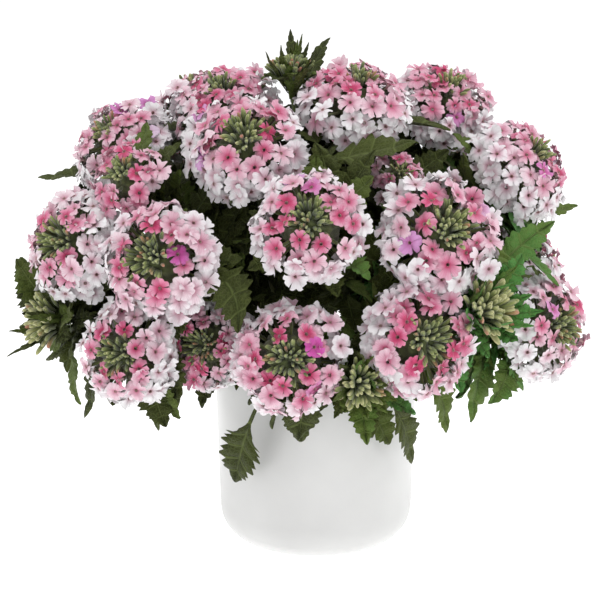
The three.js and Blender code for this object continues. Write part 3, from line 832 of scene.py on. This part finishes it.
def add_leaf(faces, leaf, rng):
    """A toothed leaf on its stalk, with veins slanting out to the teeth and a blade puckered between them.

    Rows run from -1 at the stalk's foot over 0, where the blade begins, to 1 at the tip.
    """
    teeth = leaf.teeth
    columns, rows_per_tooth = leaf.grid
    blade = np.linspace(0, 1, teeth * rows_per_tooth + 1)[:-1]
    rows = np.concatenate([np.linspace(-1, 0, STALK_ROWS + 1)[:-1], blade, [BLADE_END]])
    stalk = rows < 0
    up_blade = np.clip(rows, 0, 1)
    phase = (up_blade * teeth) % 1
    fade = np.clip(rows * 6, 0, 1)
    half = np.maximum(leaf.width / 2 * profile(up_blade) * saw(phase) * saw((phase * 2) % 1), LEAST_HALF)
    thin, thick = STALK_HALF
    half = np.where(stalk, thin + (thick - thin) * (rows + 1), thick + (half - thick) * fade)
    across = np.linspace(-1, 1, 2 * columns + 1)
    outward = np.abs(across)

    slant = VEIN_SLANT * (1 - up_blade)[:, None] * outward * np.clip(rows * 8, 0, 1)[:, None]
    place = np.clip(rows[:, None] + slant, -1, 1)
    start = leaf.stalk
    shares = np.where(place < 0, start * (1 + place), start + (1 - start) * place)
    middle = bezier(leaf.path, shares.ravel()).reshape(*shares.shape, 3)
    ahead = bezier(leaf.path, np.minimum(shares.ravel() + 0.01, 1.01)).reshape(*shares.shape, 3)
    side = unit(np.cross(leaf.upper, leaf.path[-1] - leaf.path[0]))
    up = unit(np.cross(unit(ahead - middle), side))

    width = half[:, None] * across
    between = np.sin(np.pi * phase)[:, None] * np.sin(np.pi * np.minimum(outward * 1.1, 1))
    pucker = PUCKER * between * (rows > 0)[:, None]
    groove = GROOVE * np.exp(-((outward * 4) ** 2)) * (rows > 0)[:, None]
    ripple = RIPPLE * np.sin(rows * 9 + rng.uniform(0, 6))[:, None] * outward**2 * fade[:, None]
    lift = np.abs(width) * leaf.lift + leaf.width * (pucker - groove + ripple)
    points = middle + side * width[..., None] + up * lift[..., None]
    tooth = np.where(stalk, 0.5, rows * teeth)
    sides, marks = np.broadcast_arrays(across, tooth[:, None])
    faces.add(points, grid_quads(len(rows), len(across)), across=sides, tooth=marks, tone=leaf.tone)


def leaf_tone(tip, rng, spread=0.5):
    """Painted light: leaves on the lit side of the plant are a lighter, fresher green than the rest."""
    facing = unit(tip - MOUND_CENTRE) @ direction(*PAINTED_LIGHT_SIDE)
    # painted light: up to 0.55 more tone for leaves on the lit side
    return rng.uniform(0.0, spread) + 0.55 * np.clip((facing - 0.6) / 0.35, 0, 1)


def solid_leaves(node, joints, rng):
    """The leaves of a solid stem, found by their midribs.

    A midrib has two pairs of points, on the leaf's upper and lower side and a leaf's thickness apart. The
    pair nearer to the stalk is joined to the farther one, whose other neighbours reach further ahead.
    """
    points, numbers = node_points(node)
    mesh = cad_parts[node].data
    corners = np.zeros(len(mesh.loops), int)
    mesh.loops.foreach_get("vertex_index", corners)
    triangles = numbers.ravel()[corners].reshape(-1, 3)
    linked = np.zeros((len(points), len(points)), bool)
    for a, b in ((0, 1), (1, 2), (2, 0)):
        linked[triangles[:, a], triangles[:, b]] = True
        linked[triangles[:, b], triangles[:, a]] = True
    apart = np.linalg.norm(points[:, None] - points[None], axis=-1)
    thin, thick = RIB_THICKNESS
    ribs = []
    for a, b in np.argwhere(np.triu((apart > thin) & (apart < thick) & ~linked)):
        shared = np.flatnonzero(linked[a] & linked[b])
        if len(shared) >= RIB_NEIGHBOURS:
            ribs.append((a, b, shared))
    leaves = []
    for a, b, shared in ribs:
        for c, d, earlier in ribs:
            if (c, d) == (a, b) or not (linked[a, c] or linked[a, d]):
                continue
            low, high = (points[c] + points[d]) / 2, (points[a] + points[b]) / 2
            ahead = unit(high - low)
            beyond = (points[shared] - high) @ ahead
            behind = (low - points[earlier]) @ ahead
            if beyond.max() > behind.max():
                tip = points[shared[np.argmax(beyond)]]
                edge = points[np.union1d(shared, earlier)]
                leaves.append(solid_leaf(low, high, tip, points[a] - points[b], edge, joints, rng))
    return leaves


def solid_leaf(low, high, tip, normal, edge, joints, rng):
    """One leaf from two points of its midrib, its tip, its thickness and the points of its edge.

    The midrib is a quadratic curve through them, followed back to the nearest joint for the stalk.
    """
    first, second = RIB_PLACES
    places = np.array([[1, first, first**2], [1, second, second**2], [1, 1, 1]])
    terms = np.linalg.solve(places, np.array([low, high, tip]))
    if normal @ (unit(low - MOUND_CENTRE) + [0, 0, 0.6]) < 0:
        normal = -normal
    side = unit(np.cross(normal, tip - low))
    width = 2 * np.abs((edge - low) @ side).max()
    backward = np.linspace(0, -LONGEST_STALK, 60)
    path = terms[0] + np.outer(backward, terms[1]) + np.outer(backward**2, terms[2])
    away = np.linalg.norm(path[:, None] - joints[None], axis=-1).min(axis=1)
    stop = backward[np.argmin(away + 4 * np.abs(backward))]
    foot = terms[0] + stop * terms[1] + stop**2 * terms[2]
    speed = terms[1] + 2 * stop * terms[2]
    return Record(
        path=[foot, foot + speed * (1 - stop) / 2, tip],
        upper=normal,
        stalk=-stop / (1 - stop),
        width=width * SOLID_LEAF_WIDER,
        teeth=max(4, round((len(edge) - 1) / 4)),
        grid=NEAR_GRID,
        lift=LEAF_LIFT,
        tone=leaf_tone(tip, rng, 0.25),
    )


def clear_of(points, stands):
    """Whether no point is in a head's florets, in the pot or below it."""
    for stand in stands:
        off = (points - stand.origin) / stand.size
        high = off @ stand.axis
        lateral = np.sqrt(np.maximum((off**2).sum(axis=1) - high**2, 0))
        dome = np.sqrt(lateral**2 + (high / HEAD_FLATTEN) ** 2)
        if np.any((dome < stand.room) & (high > -2) & (dome > stand.room * FLORET_SHELL)):
            return False
    beside = np.linalg.norm(points[:, :2], axis=1) < POT_RIM + POT_CLEARANCE
    return not np.any(beside & (points[:, 2] < POT_HEIGHT + POT_CLEARANCE))


def has_room(leaf, stands):
    """Whether a leaf lies inside the mound and clear of the heads and the pot."""
    foot, _, tip = leaf.path
    probes = bezier(leaf.path, np.linspace(0.3, 1, 6))
    wide = unit(np.cross(leaf.upper, tip - foot)) * leaf.width * 0.4
    spots = np.concatenate([probes, probes + wide, probes - wide])
    return np.linalg.norm((tip - MOUND_CENTRE) / MOUND_REACH) < MOUND_LIMIT and clear_of(spots, stands)


def branch_leaf(foot, forward, spin, attempt, rng):
    """A leaf that leaves a branch sideways and then bends outwards and a little down."""
    outward = turned(forward, spin)[0]
    length = rng.uniform(*BRANCH_LEAF_LENGTH) * (1 - SHORTER * attempt)
    out = unit(foot - MOUND_CENTRE)
    over = foot + unit(outward + forward * 0.7 + out * 0.5) * length * 0.5
    bend = forward * rng.uniform(-0.2, 0.5) + out * 0.5 - [0, 0, 0.35]
    tip = over + unit(outward + bend) * length * 0.55
    return Record(
        path=[foot, over, tip],
        upper=out + [0, 0, 0.8] + rng.normal(0, 0.25, 3),
        stalk=STALK_SHARE,
        width=length * rng.uniform(*BRANCH_LEAF_WIDTH),
        teeth=int(rng.integers(4, 6)),
        grid=BRANCH_GRID,
        lift=rng.uniform(0.05, 0.3),
        tone=leaf_tone(tip, rng),
    )


def branch_leaves(curve, stands, rng):
    """Pairs of leaves along a branch, each pair crosswise to the next, tried until clear of the heads."""
    leaves = []
    for number, share in enumerate(BRANCH_LEAF_PLACES):
        foot, ahead = bezier(curve, [share, share + 0.02])
        for half in (0, 180):
            for attempt in range(LEAF_TRIES):
                spin = 90 * number + half + rng.uniform(*BRANCH_LEAF_TURN)
                leaf = branch_leaf(foot, unit(ahead - foot), spin, attempt, rng)
                if has_room(leaf, stands):
                    leaves.append(leaf)
                    break
    return leaves


def gap_leaf(foot, tip, layer, rng):
    """A leaf of one layer of the filling, from a joint to its place."""
    length = np.linalg.norm(foot - tip)
    outward = unit(tip - MOUND_CENTRE)
    return Record(
        path=[foot, (foot + tip) / 2 + outward * length * rng.uniform(0.05, 0.25), tip],
        upper=outward + [0, 0, 0.5] + rng.normal(0, 0.4, 3),
        stalk=STALK_SHARE,
        width=length * rng.uniform(*layer.width),
        teeth=layer.teeth,
        grid=FILL_GRID,
        lift=rng.uniform(0.05, 0.25),
        # painted shade: the layer's tone darkens leaves deeper in the mound
        tone=leaf_tone(tip, rng) * layer.tone,
    )


def screen_leaf(foot, tip, rng):
    """A broad leaf that faces the camera."""
    front = direction(0, CAMERA_ELEVATION)
    return Record(
        path=[foot, (foot + tip) / 2 + front * SCREEN_WIDTH * SCREEN_BOW, tip],
        upper=front,
        stalk=STALK_SHARE,
        width=SCREEN_WIDTH,
        teeth=SCREEN_TEETH,
        grid=BRANCH_GRID,
        lift=LEAF_LIFT,
        tone=leaf_tone(tip, rng),
    )


def gap_leaves(curves, stands, rng):
    """Leaves that fill the room between the heads, by stem. Each grows from a branch near its place."""
    owners = [name for name, group in curves.items() for _ in group for _ in JOINT_SHARES]
    joints = np.concatenate([bezier(curve, JOINT_SHARES) for group in curves.values() for curve in group])
    grown = {name: [] for name in curves}
    for layer in LEAF_LAYERS:
        tips = np.full((1, 3), 1e6)
        for number in range(layer.count):
            height = 0.99 - 1.65 * (number + 0.5) / layer.count
            place = np.array([GOLDEN_ANGLE * number, np.degrees(np.arcsin(height))])
            for _ in range(GAP_TRIES):
                tip = on_mound(place + rng.uniform(-GAP_TURN, GAP_TURN, 2), rng.uniform(*layer.reach))
                away = np.linalg.norm(joints - tip, axis=1)
                near = np.argmin(np.abs(away - rng.uniform(*LEAF_REACH)))
                crowded = np.linalg.norm(tips - tip, axis=1).min() < layer.spacing
                if away[near] > LONGEST_REACH or crowded:
                    continue
                leaf = gap_leaf(joints[near], tip, layer, rng)
                if has_room(leaf, stands):
                    grown[owners[near]].append(leaf)
                    tips = np.vstack([tips, tip])
                    break
    for screen in SCREEN_LEAVES:
        near = np.argmin(np.linalg.norm(joints - screen.foot, axis=1))
        grown[owners[near]].append(screen_leaf(joints[near], np.array(screen.tip), rng))
    return grown


def shoot_leaves(stand, rng):
    """Narrow young leaves that stand round a cluster of buds."""
    leaves = []
    size = stand.size
    basis = turned(stand.axis, 0)
    for number in range(stand.leaves):
        around = np.radians(GOLDEN_ANGLE * number + rng.uniform(*SHOOT_TURN))
        radial = polar_point(np.pi / 2, around)
        foot = radial * 2 + [0, 0, rng.uniform(*SHOOT_FOOT)]
        over = radial * rng.uniform(*SHOOT_BEND) + [0, 0, 4]
        high = rng.uniform(*SHOOT_TOP)
        tip = radial * rng.uniform(*SHOOT_REACH) + [0, 0, high]
        path = [stand.origin + (point @ basis) * size for point in (foot, over, tip)]
        leaf = Record(
            path=path,
            upper=-(radial @ basis) + stand.axis * 0.4,
            stalk=0.1,
            width=(SHOOT_WIDTH - SHOOT_NARROWER * high) * size,
            teeth=4,
            grid=BRANCH_GRID,
            lift=0.2,
            tone=leaf_tone(path[-1], rng),
        )
        leaves.append(leaf)
    return leaves


def build_plant():
    """The six stems with their branches, leaves, buds and flower heads."""
    stops = {"white_petals": WHITE_STOPS, "pink_petals": PINK_STOPS}
    petal_looks = {slot: petal_material(slot, colours) for slot, colours in stops.items()}
    floret_tubes = tube_material()
    buds_green = bud_material()
    leaf_green = leaf_material()
    stem_green = stem_material()

    stands = {number: head_stand(number) for stem in STEMS for number in stem.heads}
    heads = stands.values()
    clusters, curves = {}, {}
    for stem in STEMS:
        name = stem.name
        clusters[name] = [cluster_stand(bud) for bud in CLUSTERS if bud.stem == name]
        carried = [stands[number] for number in stem.heads] + clusters[name]
        curves[name] = [branch_curve(stem.azimuth, stand) for stand in carried]
    filling = gap_leaves(curves, heads, np.random.default_rng(FILLING_SEED))

    for order, stem in enumerate(STEMS):
        name = stem.name
        node = f"leafy_stem_{name}"
        rng = np.random.default_rng(STEM_SEEDS + order)
        stems, buds, leaves, tubes = Faces(), Faces(), Faces(), Faces()
        foot, bend, fork = stem_ends(stem.azimuth)
        trunk = bezier([foot, bend, bend, fork], np.linspace(0, 1, TRUNK_STEPS))
        tube(stems, trunk, STEM_RADIUS, STEM_SIDES, STEM_RIDGE)
        for number in stem.heads:
            build_head(number, stands[number], petal_looks, tubes, buds)
        for stand in clusters[name]:
            add_buds(buds, stand, CLUSTER_BUDS, stand.pale, rng)
            for leaf in shoot_leaves(stand, rng):
                add_leaf(leaves, leaf, rng)
        shares = np.linspace(0, 1, BRANCH_STEPS)
        for curve in curves[name]:
            radii = BRANCH_RADIUS * (1.25 - 0.35 * shares)
            tube(stems, bezier(curve, shares), radii, STEM_SIDES, STEM_RIDGE)
        joints = [bezier(curve, np.linspace(0, 0.95, 30)) for curve in curves[name]]
        joints.append(bezier([foot, bend, fork], np.linspace(0, 1, 12)))
        grown = solid_leaves(node, np.concatenate(joints), rng) + filling[name]
        for curve in curves[name]:
            grown += branch_leaves(curve, heads, rng)
        for leaf in grown:
            add_leaf(leaves, leaf, rng)
        make_piece(f"stem_{name}", stems, stem_green, [node])
        make_piece(f"leaves_{name}", leaves, leaf_green, [node])
        make_piece(f"buds_{name}", buds, buds_green, [node])
        make_piece(f"floret_tubes_{name}", tubes, floret_tubes, [])


def build_head(number, stand, petal_looks, tubes, buds):
    """A head's petals as pieces, and its tubes and buds into those of its stem."""
    rng = np.random.default_rng(HEAD_SEEDS + number)
    name = f"head_{number:02}"
    age_and_light = 1 - abs(stand.axis[1])
    # painted light: heads at the top and the sides, where more light falls, are made paler
    flush = rng.uniform(*FLUSH) - PAINTED_LIGHT_PALING * age_and_light
    rings = [("outer_", "white_petals", OUTER_RINGS), ("inner_", "pink_petals", INNER_RINGS)]
    scale, tuft = 1, HEAD_BUDS
    if stand.young:
        rings = [("", "pink_petals", YOUNG_RINGS)]
        scale, tuft = YOUNG_CORE, YOUNG_BUDS
    elif age_and_light > OLD_AGE:
        rings[1] = ("inner_", "pink_petals", OLD_RINGS)
        tuft = OLD_BUDS
    for part, slot, group in rings:
        petals = Faces()
        add_rings(petals, tubes, buds, stand, group, flush, rng)
        make_piece(f"{name}_{part}petals", petals, petal_looks[slot], [f"{name}_{part}florets"])
    add_core(buds, stand, scale, rng)
    add_buds(buds, stand, tuft, YOUNG_PALE if stand.young else rng.uniform(*HEAD_PALE), rng)


def build_stage():
    """A plain pale floor and soft light from all round, with a little more from the upper front."""
    bpy.ops.mesh.primitive_circle_add(vertices=FLOOR_SIDES, radius=FLOOR_RADIUS * MM, fill_type="NGON")
    floor = bpy.context.object
    floor.name = "floor"
    floor.data.materials.append(floor_material())
    world = bpy.data.worlds.new("soft_white")
    world.use_nodes = True
    background = world.node_tree.nodes["Background"]
    background.inputs["Color"].default_value = (1, 1, 1, 1)
    background.inputs["Strength"].default_value = WORLD_STRENGTH
    bpy.context.scene.world = world
    bpy.context.scene.view_settings.view_transform = "Standard"
    for light in LIGHTS:
        data = bpy.data.lights.new(light.name, "AREA")
        data.energy = light.watts
        data.size = LIGHT_WIDTH * MM
        place = Vector(light.at)
        place_object(light.name, data, place, Vector(CAMERA_TARGET) - place)


def build_camera():
    data = bpy.data.cameras.new("camera")
    data.lens = CAMERA_LENS
    data.sensor_width = CAMERA_SENSOR
    back = Vector(direction(0, CAMERA_ELEVATION))
    place = Vector(CAMERA_TARGET) + back * CAMERA_DISTANCE
    bpy.context.scene.camera = place_object("camera", data, place, -back)


def place_object(name, data, place, aim):
    """A light or a camera at a place, looking along a direction."""
    made = bpy.data.objects.new(name, data)
    made.location = place * MM
    made.rotation_mode = "QUATERNION"
    made.rotation_quaternion = aim.to_track_quat("-Z", "Y")
    bpy.context.scene.collection.objects.link(made)
    return made


build_camera()
build_stage()
build_pot()
build_soil()
build_plant()

bpy.context.view_layer.update()
